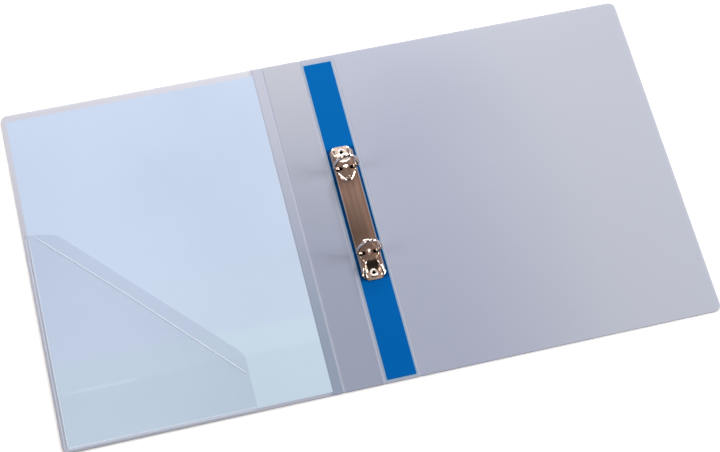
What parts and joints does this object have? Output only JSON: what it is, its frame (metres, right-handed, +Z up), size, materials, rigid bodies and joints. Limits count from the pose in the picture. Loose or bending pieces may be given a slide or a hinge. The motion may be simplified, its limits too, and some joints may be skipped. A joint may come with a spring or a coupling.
{
  "type": "ring binder",
  "caption": "Open A4 ring binder of frosted clear plastic with a coloured spine strip, a front sleeve, a diagonal inner pocket and a riveted metal mechanism with two split rings.",
  "frame": {"origin": "on the table, under the middle of the spine of the open binder", "axes": "+X across the open binder from the front cover to the back cover, +Y along its height to the top edge, +Z up, out of the inner side, along the rings"},
  "size_m": [0.5408, 0.306, 0.0294],
  "materials": {
    "frosted_polypropylene": "frosted translucent sheet with a fine sand grain",
    "clear_film": "clear welded film",
    "pocket_film": "clear film with a slight frost",
    "insert_paper": "pale blue printed sheet",
    "blue_strip": "smooth satin blue",
    "nickel_plate": "bright nickel plating on pressed steel",
    "blade_steel": "plated spring steel",
    "ring_wire": "bright nickel-plated wire",
    "rivet_steel": "bright nickel-plated tubular rivet"
  },
  "bodies": {
    "spine": {"spine_panel": "frosted_polypropylene", "spine_strip": "blue_strip", "mechanism_housing": "nickel_plate", "upper_rivet": "rivet_steel", "lower_rivet": "rivet_steel"},
    "flap": {"front_hinge_flap": "frosted_polypropylene"},
    "front_cover": {"front_cover_panel": "frosted_polypropylene", "front_sleeve": "clear_film", "front_insert_sheet": "insert_paper", "inner_pocket": "pocket_film"},
    "back_cover": {"back_cover_panel": "frosted_polypropylene"},
    "left_rings": {"left_blade": "blade_steel", "upper_left_half_ring": "ring_wire", "lower_left_half_ring": "ring_wire"},
    "right_rings": {"right_blade": "blade_steel", "upper_right_half_ring": "ring_wire", "lower_right_half_ring": "ring_wire"}
  },
  "joints": [
    {"name": "flap_crease", "type": "hinge", "parent": "spine", "child": "flap", "pos_m": [-0.0144, 0, 0.0009], "axis": [0, 1, 0], "range_deg": [0, 90]},
    {"name": "front_cover_crease", "type": "hinge", "parent": "flap", "child": "front_cover", "pos_m": [-0.0474, 0, 0.0009], "axis": [0, -1, 0], "range_deg": [-5, 90]},
    {"name": "back_cover_crease", "type": "hinge", "parent": "spine", "child": "back_cover", "pos_m": [0.0144, 0, 0.0009], "axis": [0, -1, 0], "range_deg": [0, 90]},
    {"name": "left_rings_opening", "type": "hinge", "parent": "spine", "child": "left_rings", "pos_m": [-0.008, 0, 0.0028], "axis": [0, -1, 0], "range_deg": [0, 12]},
    {"name": "right_rings_opening", "type": "hinge", "parent": "spine", "child": "right_rings", "pos_m": [0.008, 0, 0.0028], "axis": [0, 1, 0], "range_deg": [0, 12]}
  ],
  "couplings": [
    {"joint": "right_rings_opening", "follows": "left_rings_opening", "ratio": 1}
  ]
}
